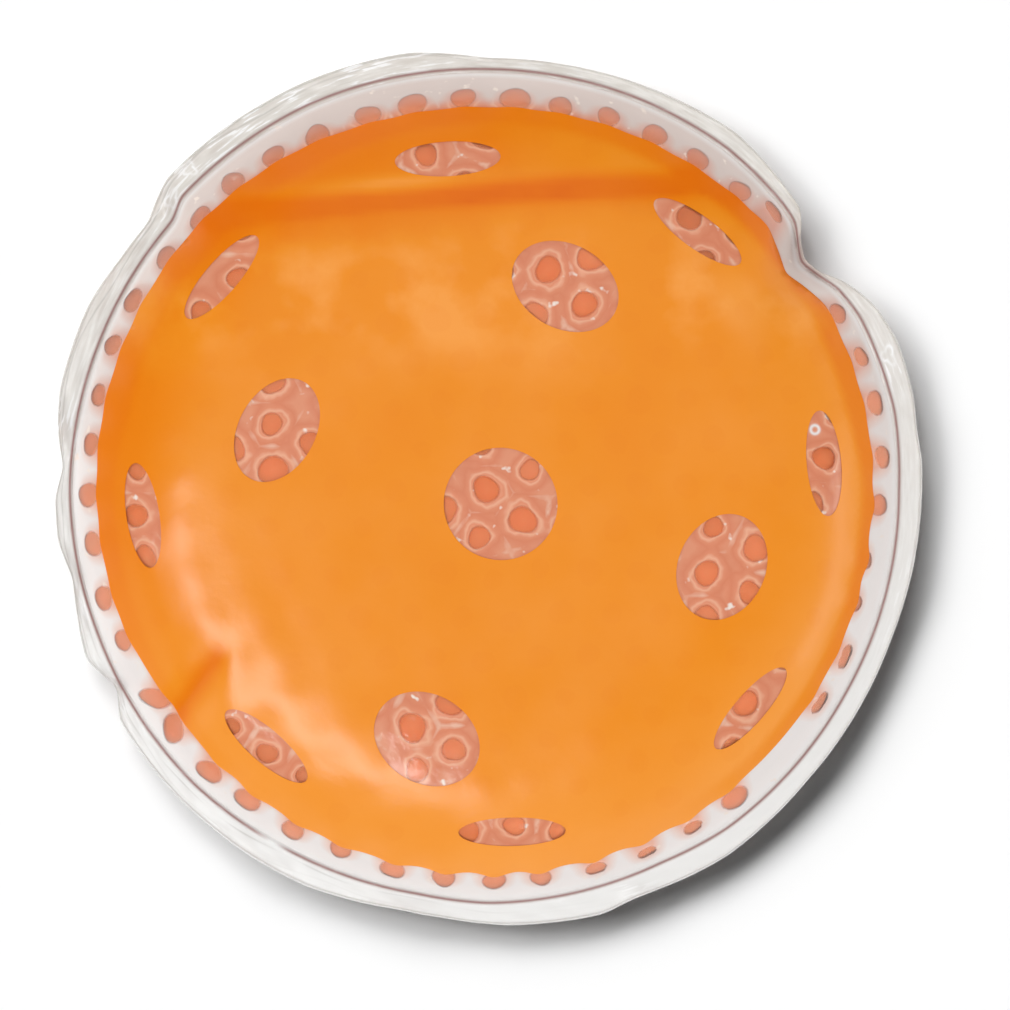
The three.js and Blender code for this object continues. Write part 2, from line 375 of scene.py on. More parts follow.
def stretched_spots():
    """For each flat spot, its length over its width, and the direction of the length in radians."""
    ratio, turned = np.ones(len(RIM_PLACES)), np.zeros(len(RIM_PLACES))
    for first, last, stretch, turn in RIM_STRETCHES:
        chosen = (RIM_ANGLES % 360 > first) & (RIM_ANGLES % 360 < last)
        ratio[chosen], turned[chosen] = stretch, turn
    round_ones = np.ones(len(UPPER_PLACES))
    directions = np.radians(RIM_ANGLES + 90 + turned)
    return np.concatenate([round_ones, ratio]), np.concatenate([round_ones, directions])


WAVE_TURNS = random_for("spot shapes").uniform(0, 2 * math.pi, (len(CONTACTS), 2))
SPOT_FORMS = np.column_stack([WAVE_TURNS, *stretched_spots()])

BUMP_HEIGHT = 0.05
BUMP_WIDTH = 2.3
RIM_BUMP_HEIGHT = 0.28
FIELD_LIMIT = 4.0  # a field on the film is cut off here, where its ramps end


def in_parts(function, x, y, size=4000):
    """The function over many points, some thousands at a time, to keep the memory small."""
    starts = range(0, len(x), size)
    return np.concatenate([function(x[s:s + size], y[s:s + size]) for s in starts])


def contact_distances(x, y):
    return np.hypot(x[:, None] - CONTACTS[:, 0], y[:, None] - CONTACTS[:, 1])


def spot_shape(angle, forms):
    """A flat spot isn't quite round: its radius in a direction, as a share of the mean. A form holds
    the starts of its two waves, its length over its width, and the direction of its length."""
    first, second, ratio, direction = (forms[..., k] for k in range(4))
    waves = 1 + 0.07 * np.cos(2 * angle + first) + 0.045 * np.cos(3 * angle + second)
    along, across = np.cos(angle - direction), np.sin(angle - direction)
    return waves / np.sqrt(along**2 / ratio + across**2 * ratio)


def front_height(x, y):
    """Height of the front film's outer face."""
    near = in_parts(lambda x, y: bell(contact_distances(x, y), BUMP_WIDTH).max(1), x, y)
    rim = smooth(46, 52, np.hypot(x, y))
    height = BUMP_HEIGHT + (RIM_BUMP_HEIGHT - BUMP_HEIGHT) * rim
    return dome(x, y) + (1 - smooth(0.965, 1.0, share_out(x, y))) * height * near


CONTACT_HEIGHTS = front_height(*CONTACTS.T)


def inner_height(x, y):
    """Height of the front film's inner face: the thickness is measured square to the film."""
    return front_height(x, y) - FILM_THICKNESS / dome_normal(x, y)[:, 2]


def touch_fields(x, y):
    """Two fields on the film: distance to the nearest flat spot in patch radii, and from there to
    the next nearest in millimetres, which is 0 on the seam between two beads."""
    def part(x, y):
        z = front_height(x, y)
        flat = contact_distances(x, y)
        away = np.hypot(flat, z[:, None] - CONTACT_HEIGHTS)
        angle = np.arctan2(y[:, None] - CONTACTS[:, 1], x[:, None] - CONTACTS[:, 0])
        spots = PATCHES * spot_shape(angle, SPOT_FORMS)
        two = np.partition(away, 1, axis=1)[:, :2]
        return np.stack([(away / spots).min(1), two[:, 1] - two[:, 0]], -1)

    fields = in_parts(part, x, y, 2000)
    return np.minimum(fields[:, 0], FIELD_LIMIT), np.minimum(fields[:, 1], FIELD_LIMIT)


def back_height(x, y):
    """Height of the back film's outer face: flat where the pack lies, curling up to the weld."""
    rise = smooth(0.88, 1.05, share_out(x, y)) / smooth(0.88, 1.05, 1.0)
    return (WELD_HEIGHT - BAND_THICKNESS / 2 - 0.02) * rise


# ---- Mesh building ----

CRISP_ANGLE = math.radians(50)


def new_object(name, data):
    thing = bpy.data.objects.new(name, data)
    bpy.context.scene.collection.objects.link(thing)
    return thing


def make_object(name, points, faces, materials, face_materials=None, crisp=False):
    """A mesh from points in millimetres from the pack's middle, moved into the frame in metres.
    A crisp one keeps its square edges sharp, where the rest is shaded smooth."""
    mesh = bpy.data.meshes.new(name)
    placed = np.array(points, float) * MM
    placed[:, 0] += PACK_MIDDLE.x
    placed[:, 1] += PACK_MIDDLE.y
    mesh.from_pydata(placed.tolist(), [], [list(map(int, face)) for face in faces])
    for material in materials:
        mesh.materials.append(material)
    if face_materials is not None:
        mesh.polygons.foreach_set("material_index", np.asarray(face_materials, np.int32))
    mesh.shade_smooth()
    if crisp:
        mesh.set_sharp_from_angle(angle=CRISP_ANGLE)
    mesh.update()
    piece = new_object(name, mesh)
    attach(piece, "root")
    return piece


def paint(piece, name, values):
    """Stores a number, or a vector, for each vertex, which the piece's material reads."""
    values = np.asarray(values, np.float32)
    kind, field = ("FLOAT_VECTOR", "vector") if values.ndim == 2 else ("FLOAT", "value")
    layer = piece.data.attributes.new(name, kind, "POINT")
    layer.data.foreach_set(field, values.ravel())


def paint_both_faces(piece, **fields):
    """Paints a sheet, whose two faces have the same points one over the other."""
    for name, values in fields.items():
        paint(piece, name, np.tile(values, 2))


def ring_points(radius_at, count):
    """Evenly turned points of an outline, given its radius at an angle."""
    angle = np.arange(count) * 360 / count
    return from_polar(radius_at(angle), angle)


def triangulate(loops, fill, clearance):
    """Triangles that fill the plane, with every loop as edges and no fill point too near a loop."""
    edges, start = [], 0
    for loop in loops:
        count = len(loop)
        edges += [(start + i, start + (i + 1) % count) for i in range(count)]
        start += count
    border = np.concatenate(loops)

    def gap(x, y):
        return np.hypot(x[:, None] - border[:, 0], y[:, None] - border[:, 1]).min(1)

    fill = fill[in_parts(gap, *fill.T, 2000) > clearance]
    points = np.concatenate([border, fill])
    result = delaunay_2d_cdt([Vector(p) for p in points], edges, [], 0, 1e-6)
    return np.array([tuple(p) for p in result[0]]), np.array([list(f) for f in result[2]])


def facing_up(points, faces):
    """The same triangles, all anticlockwise seen from above."""
    a, b, c = (points[faces[:, k]] for k in range(3))
    turn = (b[:, 0] - a[:, 0]) * (c[:, 1] - a[:, 1]) - (b[:, 1] - a[:, 1]) * (c[:, 0] - a[:, 0])
    return np.where(turn[:, None] < 0, faces[:, ::-1], faces)


def border_edges(faces):
    """Edges that only one face has, in that face's direction."""
    pairs = {(int(face[i]), int(face[(i + 1) % 3])) for face in faces for i in range(3)}
    return sorted((a, b) for a, b in pairs if (b, a) not in pairs)


def drop_loose(flat, faces):
    """The same faces without the points that none of them has."""
    used = np.unique(faces)
    number = np.full(len(flat), -1)
    number[used] = np.arange(len(used))
    return flat[used], number[faces]


def make_sheet(name, flat, faces, bottom, top, materials, outer_side):
    """A closed thin sheet between two heights. Its outer side takes the first material, and the rest
    takes the last."""
    count = len(flat)
    points = np.concatenate([np.column_stack([flat, top]), np.column_stack([flat, bottom])])
    walls = []
    for a, b in border_edges(faces):
        walls += [(b, a, a + count), (b, a + count, b + count)]
    all_faces = np.concatenate([faces, faces[:, ::-1] + count, np.array(walls)])
    slots = np.full(len(all_faces), len(materials) - 1)
    first = 0 if outer_side == "top" else len(faces)
    slots[first:first + len(faces)] = 0
    return make_object(name, points, all_faces, materials, slots, crisp=True)


# ---- Materials ----

STUDIO_LEVEL = 1.12  # how bright a white sheet lies under this studio's lights
FIELD_SCALE = 1 / FIELD_LIMIT  # brings a field into a ramp's range
VINYL_IOR = 1.45
# The pale tone beads are blended towards: by a random amount on each bead, and more on the rim beads as
# painted light.
DEEP_SALMON = (0.95, 0.42, 0.25)
WHITE = (1.0, 1.0, 1.0)


def linear(red, green, blue):
    """The base colour that shows as this screen colour, 0 to 255, under the studio's lights."""
    def channel(value):
        share = value / 255
        light = share / 12.92 if share <= 0.04045 else ((share + 0.055) / 1.055) ** 2.4
        return light / STUDIO_LEVEL

    return (channel(red), channel(green), channel(blue))


class Shading:
    """A node tree being built. Its methods add a node and return the socket that comes out of it."""

    def __init__(self, tree):
        self.nodes, self.links = tree.nodes, tree.links

    def add(self, kind, inputs=None, **settings):
        """A new node. Inputs gives each of its sockets a value, or another socket to be linked."""
        node = self.nodes.new(f"ShaderNode{kind}")
        for name, value in settings.items():
            setattr(node, name, value)
        for name, value in (inputs or {}).items():
            self.feed(node.inputs[name], value)
        return node

    def feed(self, socket, value):
        if isinstance(value, bpy.types.NodeSocket):
            self.links.new(value, socket)
        else:
            socket.default_value = value

    def field(self, name, output="Fac"):
        """What paint() stored on the piece under this name."""
        return self.add("Attribute", attribute_name=name).outputs[output]

    def noise(self, scale, detail=3.0, vector=None):
        if vector is None:
            vector = self.add("TexCoord").outputs["Object"]
        return self.add("TexNoise", {"Scale": scale, "Detail": detail, "Vector": vector}).outputs["Fac"]

    def ramp(self, source, stops):
        """A colour ramp through stops: each is a place, and then a grey or a screen colour."""
        node = self.add("ValToRGB", {"Fac": source})
        elements = node.color_ramp.elements
        while len(elements) < len(stops):
            elements.new(0.5)
        for element, (place, *tone) in zip(elements, stops):
            element.position = place
            element.color = (*(linear(*tone) if len(tone) == 3 else tone * 3), 1.0)
        return node.outputs["Color"]

    def calculate(self, operation, first, second):
        return self.add("Math", {0: first, 1: second}, operation=operation).outputs["Value"]

    times = partialmethod(calculate, "MULTIPLY")
    plus = partialmethod(calculate, "ADD")
    larger = partialmethod(calculate, "MAXIMUM")

    def blend(self, amount, first, second):
        """A colour between two, each a colour or a socket."""
        node = self.add("Mix", {"Factor": amount}, data_type="RGBA")
        colours = {socket.name: socket for socket in node.inputs if socket.type == "RGBA"}
        for name, value in (("A", first), ("B", second)):
            self.feed(colours[name], (*value, 1.0) if isinstance(value, tuple) else value)
        return [socket for socket in node.outputs if socket.type == "RGBA"][0]

    def bump(self, height, strength, distance):
        inputs = {"Strength": strength, "Distance": distance, "Height": height}
        return self.add("Bump", inputs).outputs["Normal"]

    def mix_shaders(self, amount, first, second):
        return self.add("MixShader", {"Fac": amount, 1: first, 2: second}).outputs["Shader"]


def make_material(name, shader_of):
    """A material with the shader that a function builds in its node tree."""
    material = bpy.data.materials.new(name)
    material.use_nodes = True
    material.node_tree.nodes.clear()
    tree = Shading(material.node_tree)
    tree.add("OutputMaterial", {"Surface": shader_of(tree)})
    return material


def ink_shader(tree):
    """Orange screen ink, faintly mottled by the beads under it. Its tone is mostly painted light and
    shade, with random mottle and painted sheen patches.
    """
    # the depth field is painted light and shade; the noise is random mottle
    uneven = tree.plus(tree.field("depth"), tree.times(tree.noise(70.0, 4.0), 0.3))
    # painted sheen: pale patches in a band across the upper middle
    smears = tree.ramp(tree.noise(85.0, 5.0), [(0.48, 0.0), (0.68, 0.45)])
    tone = tree.plus(uneven, tree.times(tree.field("smeared"), smears))
    # deep orange where shade is painted, pale orange where light and highlights are painted
    colour = tree.ramp(tone, [
        (0.0, 216, 88, 0), (0.15, 228, 110, 2), (0.45, 234, 127, 12), (0.7, 238, 141, 29),
        (1.0, 246, 158, 68),
    ])
    pressed = tree.ramp(tree.field("touch"), [(0.9, 0.05), (1.0, 0.0)])
    return tree.add("BsdfPrincipled", {
        "Base Color": tree.blend(pressed, colour, linear(222, 104, 12)),
        "Roughness": 0.27,
        "Specular IOR Level": 0.4,
        "Normal": tree.bump(tree.noise(900.0), 0.10, 0.0002),
    }).outputs["BSDF"]


def vinyl_shader(tree, milk, tint, roughness, ripple):
    """Clear vinyl over whatever lies behind it: milk says how much light it scatters itself."""
    scatter = tree.add("BsdfDiffuse", {"Color": tint}).outputs["BSDF"]
    body = tree.mix_shaders(milk, tree.add("BsdfTransparent").outputs["BSDF"], scatter)
    gloss = tree.add("BsdfGlossy", {"Color": (*WHITE, 1), "Roughness": roughness, "Normal": ripple})
    fresnel = tree.add("Fresnel", {"IOR": VINYL_IOR, "Normal": ripple})
    return tree.mix_shaders(fresnel.outputs["Fac"], body, gloss.outputs["BSDF"])


def film_shader(tree):
    """Clear where a bead presses on it, milky round each flat spot, with painted reflections: a pale ring
    round each spot, pale arcs between beads, white sparkles and a white line inside the weld.
    """
    touch = tree.field("touch")
    dry = tree.ramp(tree.times(touch, FIELD_SCALE), [
        (0.0, 0.1), (0.205, 0.1), (0.232, 0.4), (0.25, 0.85), (0.265, 1.0),
    ])
    milk = tree.times(tree.field("milk"), tree.larger(dry, tree.field("veil")))
    wander = tree.times(tree.noise(330.0, 2.0), 1.5)
    # the beads' salmon behind the milky film; its pale band is a painted reflection round each flat spot
    rings = tree.ramp(tree.times(tree.plus(touch, wander), 0.2), [
        (0.28, 228, 134, 96), (0.33, 238, 160, 126), (0.35, 234, 150, 116),
        (0.385, 246, 184, 152), (0.43, 234, 152, 118), (0.50, 229, 142, 108),
        (0.62, 237, 158, 124),
    ])
    # painted reflections: pale arcs along the seams between beads
    seam = tree.plus(tree.field("seam"), tree.times(tree.noise(240.0, 2.0), 4.0))
    arc = tree.ramp(tree.times(seam, FIELD_SCALE), [(0.36, 0.8), (0.56, 0.0)])
    inside = tree.blend(arc, rings, linear(248, 204, 180))
    pink = tree.times(tree.field("blush"), FIELD_SCALE)
    upper_blush = tree.ramp(pink, [
        (0.2, 226, 170, 152), (0.5, 228, 194, 182), (0.8, 231, 214, 206),
    ])
    lower_blush = tree.ramp(pink, [
        (0.2, 244, 190, 170), (0.45, 248, 222, 212), (0.75, 252, 245, 242),
    ])
    # painted light: the strip's side towards -y is paler
    blush = tree.blend(tree.field("low"), upper_blush, lower_blush)
    rimmed = tree.blend(tree.field("rim"), inside, blush)
    # painted highlights: a white line inside the weld and the bubble's white ring
    tint = tree.blend(tree.field("gleam"), rimmed, linear(252, 250, 248))
    # painted sparkles: small white glints of reflected light
    specks = tree.ramp(tree.noise(560.0, 2.0), [(0.67, 0.0), (0.75, 1.0)])
    speckled = tree.blend(specks, tint, linear(255, 240, 228))
    return vinyl_shader(tree, milk, speckled, 0.22, tree.bump(tree.noise(420.0), 0.3, 0.0005))


def band_shader(tree):
    """The fused band: milky clear vinyl with drawn-out wrinkled streaks, painted white glints, painted grey
    shade lines, a mauve weld line of painted shade and bead reflection, and one side painted paler.
    """
    drawn = tree.noise(1.0, 3.0, tree.field("flow", "Vector"))
    # painted glints: white streaks where the wrinkled film catches light, and white rings round blisters
    torn = tree.ramp(drawn, [(0.56, 0.0), (0.62, 1.0)])
    wrinkles = tree.times(tree.field("crumpled"), torn)
    glints = tree.larger(wrinkles, tree.field("glint"))
    upper = tree.ramp(drawn, [(0.35, 230, 224, 216), (0.65, 246, 242, 236)])
    # painted light: the band's side towards -y is whiter
    base = tree.blend(tree.field("low"), upper, linear(252, 251, 249))
    # painted shade: thin grey lines along the edges and a fold
    edged = tree.blend(tree.field("contour"), base, linear(176, 172, 166))
    streaked = tree.blend(glints, edged, WHITE)
    # painted shade tinted by a painted reflection of the beads: the mauve weld line
    tint = tree.blend(tree.field("line"), streaked, linear(158, 118, 113))
    return vinyl_shader(tree, tree.field("milk"), tint, 0.12, tree.bump(drawn, 0.6, 0.0006))


def inner_face_shader(tree):
    """The films' hidden inner faces: nearly nothing shows, so that a sheet isn't milky twice."""
    return tree.add("BsdfTransparent", {"Color": (0.99, 0.98, 0.97, 1)}).outputs["BSDF"]


def gel_shader(tree):
    """Wet salmon gel: deeper and redder on the flat that the film presses, with painted shade at the flat's
    edge and a painted sheen round it where the bead curves away; rim beads are painted paler as painted
    light.
    """
    # painted shade: the darker band at the flat's edge; painted sheen: the pale ring just outside it and the
    # paler gel beyond
    zone = tree.ramp(tree.times(tree.field("cap"), FIELD_SCALE), [
        (0.0, 255, 162, 110), (0.19, 253, 150, 96), (0.235, 246, 132, 78), (0.262, 255, 190, 154),
        (0.5, 250, 166, 126),
    ])
    varied = tree.blend(tree.times(tree.noise(380.0, 2.0), 0.45), zone, linear(246, 134, 84))
    return tree.add("BsdfPrincipled", {
        # shade blends towards the pale tone: random on each bead, and more on the rim beads as painted light
        "Base Color": tree.blend(tree.field("shade"), varied, DEEP_SALMON),
        "Roughness": 0.32,
        "Specular IOR Level": 0.2,
        "Subsurface Weight": 0.25,
        "Subsurface Radius": (0.003, 0.0012, 0.0008),
        "Subsurface Scale": 1.0,
    }).outputs["BSDF"]


def floor_shader(tree):
    return tree.add("BsdfPrincipled", {
        "Base Color": (0.92, 0.92, 0.92, 1),
        "Roughness": 0.7,
        "Specular IOR Level": 0.2,
    }).outputs["BSDF"]


ORANGE_INK = make_material("orange_ink", ink_shader)
CLEAR_VINYL = make_material("clear_vinyl", film_shader)
WELDED_VINYL = make_material("welded_vinyl", band_shader)
INNER_FACE = make_material("film_inner_face", inner_face_shader)
SALMON_GEL = make_material("salmon_gel", gel_shader)


# ---- Pieces ----


def window_loop(window, count=120):
    """The outline of a window: an ellipse."""
    middle_x, middle_y, length, width, direction = window
    around, turn = np.arange(count) * 2 * math.pi / count, math.radians(direction)
    u, v = length * np.cos(around), width * np.sin(around)
    return np.stack([middle_x + u * math.cos(turn) - v * math.sin(turn),
                     middle_y + u * math.sin(turn) + v * math.cos(turn)], -1)


def in_window(points, window, margin=0.0):
    middle_x, middle_y, length, width, direction = window
    x, y, turn = points[:, 0] - middle_x, points[:, 1] - middle_y, math.radians(direction)
    u = x * math.cos(turn) + y * math.sin(turn)
    v = -x * math.sin(turn) + y * math.cos(turn)
    return (u / (length + margin)) ** 2 + (v / (width + margin)) ** 2 < 1


def ink_depth(x, y):
    """How light the ink is, all painted light and shade: painted shade towards the top, at the rim
    and along the fold, painted light and highlights low down, at the notch and above the fold.
    """
    radius, angle = polar(x, y)
    shoulder = smooth(34, 50, radius)
    # painted shade: darker towards the top, and on the upper left shoulder
    light = 0.57 - 0.3 * smooth(33, 42, y) - 0.25 * shoulder * smooth(-35, -5, y) * smooth(25, -25, x)
    # painted light: paler on the lower shoulder and on the right
    light += shoulder * (0.2 * smooth(5, 35, -y) + 0.1 * smooth(15, 45, x) * smooth(36, 16, y))
    # a painted highlight just inside the notch
    inside_notch = smooth(36, 40, radius) * smooth(45, 42, radius)
    light += 0.25 * bell(turn_between(angle, NOTCH_ANGLE), 6) * inside_notch
    # painted shade in a band along the ink's edge, where the film curves down
    edge_band = smooth(48.2, 49.6, radius + smooth(0, 12, y))
    light -= (0.12 + 0.28 * smooth(0, 30, x)) * edge_band * smooth(-46, -30, y)
    # painted shade along the tuck at the lower left
    light -= 0.45 * bell(turn_between(angle, tuck_angle(radius)), 1.9) * smooth(39, 42, radius)
    # painted shade in the fold and below it, with painted light and a painted highlight above it
    beside = y - fold_line(x)
    crossed = smooth(-46, -30, x) * (1 - smooth(22, 34, x))
    light -= crossed * (0.5 + 0.1 * smooth(-10, 5, x)) * bell(beside, 1.3)
    light -= 0.2 * crossed * bell(beside + 3.0, 3.0) * smooth(8, -16, x)
    light += 0.42 * bell(beside - 2.2, 1.2) * bell(x + 12, 13)
    light += (0.16 + 0.1 * smooth(0, 10, x)) * smooth(1.4, 3.0, beside) * smooth(32, 24, x)
    return np.clip(light, 0, 1)


def make_print():
    """The ink layer, a thin sheet on the front film with its windows cut through."""
    loops = [ring_points(print_radius, 900)] + [window_loop(window) for window in WINDOWS]
    flat, faces = triangulate(loops, grid_points(53, 0.8), 0.36)
    centres = flat[faces].mean(1)
    radius, angle = polar(*centres.T)
    keep = radius < print_radius(angle)
    for window in WINDOWS:
        keep &= ~in_window(centres, window)
    flat, faces = drop_loose(flat, facing_up(flat, faces[keep]))
    x, y = flat.T
    base = front_height(x, y) + INK_LIFT
    piece = make_sheet("print_layer", flat, faces, base, base + INK_THICKNESS, [ORANGE_INK], "top")
    touch, _ = touch_fields(x, y)
    # The ink's painted light and shade, and the band of its painted sheen patches.
    paint_both_faces(piece, depth=ink_depth(x, y), touch=touch, smeared=bell(y - 26, 8))
    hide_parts("ball_print")


# The bubble's white ring is a painted highlight on the film.
BUBBLE = (42.6, 7.8)  # a small air bubble that shows as a white ring in the right-hand window
RIM_RINGS = np.linspace(0.968, 0.9945, 6)  # shares of the way out where the film runs into the weld


def front_sheet_points():
    """Grid points of the front film: fine where it shows, coarser under the ink."""
    fine, coarse = grid_points(WELD_RADIUS + 2, 0.5), grid_points(WELD_RADIUS, 1.1)
    shows = np.hypot(*fine.T) > 49.4
    covered = np.hypot(*coarse.T) < 48.9
    for window in WINDOWS:
        shows |= in_window(fine, window, 0.4)
        covered &= ~in_window(coarse, window, 0.9)
    inner = np.concatenate([fine[shows], coarse[covered]])
    inner = inner[np.hypot(*(inner - BUBBLE).T) > 1.1]
    inner = inner[share_out(*inner.T) < RIM_RINGS[0] - 0.006]
    rings = [ring_points(lambda angle: share * weld_radius(angle + 0.25 * (i % 2)), 720)
             for i, share in enumerate(RIM_RINGS)]
    return np.concatenate([inner, *rings, grid_points(1.0, 0.14) + BUBBLE])


def film_inside_weld(outline_steps, fill, clearance):
    """Flat points and triangles that fill the weld line."""
    flat, faces = triangulate([ring_points(weld_radius, outline_steps)], fill, clearance)
    centres = flat[faces].mean(1)
    faces = faces[share_out(*centres.T) < 1.0]
    return drop_loose(flat, facing_up(flat, faces))


def make_front_sheet():
    flat, faces = film_inside_weld(720, front_sheet_points(), 0.15)
    x, y = flat.T
    piece = make_sheet("front_sheet", flat, faces, inner_height(x, y), front_height(x, y),
                       [CLEAR_VINYL, INNER_FACE], "top")
    touch, seam = touch_fields(x, y)
    rim = smooth(0.905, 0.935, share_out(x, y))
    outer = smooth(0.95, 1.0, share_out(x, y))
    north = y / np.hypot(x, y).clip(1)
    # painted highlights: a white line just inside the weld, and a white ring round the bubble
    gleam = 0.8 * bell(weld_radius(polar(x, y)[1]) - np.hypot(x, y) - 0.6, 0.3)
    gleam += bell(np.hypot(x - BUBBLE[0], y - BUBBLE[1]) - 0.55, 0.2)
    # low marks the side towards -y, which is painted paler as painted light
    paint_both_faces(
        piece, touch=touch, seam=seam, rim=rim, gleam=gleam.clip(0, 1),
        blush=in_parts(blush_distance, x, y), low=smooth(-0.85, 0.3, -north),
        milk=0.84 - 0.06 * rim + 0.1 * outer, veil=rim * (0.06 + 0.26 * smooth(0.1, 0.9, north)))
    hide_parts("front_film")


def make_back_sheet():
    fill = grid_points(WELD_RADIUS + 2, 1.1)
    fill = fill[share_out(*fill.T) < 0.99]
    flat, faces = film_inside_weld(480, fill, 0.45)
    bottom = back_height(*flat.T)
    piece = make_sheet("back_sheet", flat, faces, bottom, bottom + FILM_THICKNESS,
                       [CLEAR_VINYL, INNER_FACE], "bottom")
    even = {"touch": FIELD_LIMIT, "seam": FIELD_LIMIT, "blush": FIELD_LIMIT, "rim": 1.0,
            "milk": 0.3, "veil": 0.0, "low": 0.0, "gleam": 0.0}
    for name, value in even.items():
        paint(piece, name, np.full(2 * len(flat), value))
    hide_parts("back_film")


BAND_COLUMNS = 1440
RIDGE_HEIGHT = 0.3
RIDGE_WIDTH = 0.26
RIDGE_PLACE = 0.12  # how far the top of the weld line is from the band's inner outline
WELD_LINE_STEPS = [-0.16, -0.09, -0.04, 0, 0.04, 0.08, 0.13, 0.2]  # shares of the way across
LEAST_BAND_WIDTH = 0.6
BAND_LIFTS = [  # (angle, half width, lift of the outer edge)
    (NOTCH_ANGLE, 5.0, 2.0), (8, 4, 0.5), (18, 3, 0.4), (103, 5, 0.6), (128, 6, 0.5), (139, 1.8, 1.3),
    (150, 6, 0.5), (172, 2.5, 0.8), (178, 3, -0.5), (192, 3, 0.9), (203, 2.5, -0.4), (207.5, 2, 1.4),
    (216, 4, -0.3), (238, 4, 0.5), (258, 7, 0.6), (290.5, 1.8, 1.0), (318, 9, 0.4), (350, 6, 0.4),
]
# Where the band's painted glint streaks are strongest.
CRUMPLED_SPOTS = [  # (angle, half width, share)
    (17, 3, 0.8), (172, 4, 0.9), (208, 4, 0.9), (195, 3, 0.6), (290, 3, 0.6), (345, 6, 0.3),
]


def crumpled_share(angle):
    """How wrinkled the band is, which sets its painted glint streaks: most at the upper left, with a few
    spots elsewhere.
    """
    return np.clip(bell(turn_between(angle, 118), 26) + strayed(angle, CRUMPLED_SPOTS), 0, 1)


def contour_share(angle, across):
    """Thin grey lines of painted shade: the cut edge all round, the under film's edge showing through at
    the left, and a wavy fold at the lower left.
    """
    turn = np.radians(angle)
    left = bell(turn_between(angle, 150), 75)
    wander = 0.72 + 0.1 * np.sin(11 * turn + 1.0) + 0.06 * np.sin(23 * turn)
    crease = 0.38 + 0.1 * np.sin(5 * turn + 2.0) + 0.05 * np.sin(19 * turn)
    low_left = bell(turn_between(angle, 225), 38) * (0.5 + 0.5 * np.sin(31 * turn))
    return (0.45 * bell(across - 0.93, 0.035) + 0.5 * left * bell(across - wander, 0.03)
            + 0.5 * low_left * bell(across - crease, 0.03))


# Painted glint rings round blisters in the weld.
GLINT_RINGS = [  # (angle, half width in degrees, share across the band)
    (18.5, 1.4, 0.45), (133, 0.9, 0.6), (137.5, 1.3, 0.4), (207, 0.8, 0.5),
]


def glint_share(angle, across):
    """Painted glints: small white rings round blisters in the weld."""
    rings = []
    for place, width, middle in GLINT_RINGS:
        along, out = turn_between(angle, place) / width, (across - middle) / 0.3
        around = np.arctan2(out, along)
        size = 0.8 + 0.25 * np.sin(3 * around + place)
        rings.append(bell(np.hypot(along, out) - size, 0.2) * (0.7 + 0.3 * np.sin(2 * around + place)))
    return np.max(rings, axis=0)


def band_lift(angle, across):
    """Height of the band over the weld, across from 0 at the weld line to 1 at its outer edge."""
    swell = strayed(angle, BAND_LIFTS)
    turn = np.radians(angle)
    crumpled = 0.35 + 0.65 * bell(turn_between(angle, 150), 65)
    flutter = 0.2 * np.sin(17 * turn + 0.5) + 0.15 * np.sin(29 * turn + 2.0) + 0.1 * np.sin(53 * turn)
    edge_lift = (swell + crumpled * flutter) * across**1.3
    pucker = 0.12 * np.sin(41 * turn + 5 * across) + 0.08 * np.sin(67 * turn - 7 * across + 1)
    return edge_lift + crumpled * pucker * np.sin(math.pi * np.clip(across, 0, 1))


def tube_faces(columns, steps):
    """Faces of a closed tube, given as columns of points, each a closed loop of steps."""
    faces = []
    for i in range(columns):
        here, there = i * steps, ((i + 1) % columns) * steps
        for j in range(steps):
            k = (j + 1) % steps
            faces.append((here + j, here + k, there + k, there + j))
    return faces


def make_band():
    """The fused band: a thin wavy ring whose inner edge carries the raised weld line."""
    angle = np.arange(BAND_COLUMNS)[:, None] * 360 / BAND_COLUMNS
    across = np.concatenate([WELD_LINE_STEPS, np.linspace(0.24, 1, 26)])
    inner, outer = weld_radius(angle), edge_radius(angle)
    radius = inner + np.maximum(outer - inner, LEAST_BAND_WIDTH) * across
    beyond = radius - inner
    ridge = bell(beyond - RIDGE_PLACE, RIDGE_WIDTH)
    bead = 0.18 * bell(across - 0.94, 0.05)
    round_off = BAND_THICKNESS * 0.4 * smooth(0.95, 1.0, across)
    middle = WELD_HEIGHT + band_lift(angle, np.maximum(across, 0))
    upper = middle + BAND_THICKNESS / 2 + RIDGE_HEIGHT * ridge + bead - round_off
    lower = middle - BAND_THICKNESS / 2 + round_off
    east, north = np.cos(np.radians(angle)), np.sin(np.radians(angle))

    def both_sides(over, under):
        """Values on the upper side from the weld line out, then on the lower side back in."""
        over, under = (np.broadcast_to(values, radius.shape) for values in (over, under))
        return np.concatenate([over, under[:, ::-1]], axis=1).ravel()

    x, y = radius * east, radius * north
    points = np.stack([both_sides(x, x), both_sides(y, y), both_sides(upper, lower)], -1)
    piece = make_object("weld_band", points, tube_faces(BAND_COLUMNS, 2 * len(across)), [WELDED_VINYL])
    # The weld line's mauve is a painted shade tinted by a painted reflection of the beads, with a short gap.
    line = bell(beyond - RIDGE_PLACE, 0.23) * (1 - bell(turn_between(angle, 238.5), 1.8))
    fields = {
        "line": line,
        "milk": 0.86 + 0.1 * line,
        # low marks the side towards -y, which is painted whiter as painted light
        "low": smooth(-1.0, 1.0, -north),
        "crumpled": crumpled_share(angle),
        "contour": contour_share(angle, across),
        "glint": glint_share(angle, across),
    }
    for name, values in fields.items():
        paint(piece, name, both_sides(values, values))
    flow = (15 * east, 15 * north, 2.6 * beyond)
    paint(piece, "flow", np.stack([both_sides(values, values) for values in flow], -1))
    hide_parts("edge_weld")
    return piece


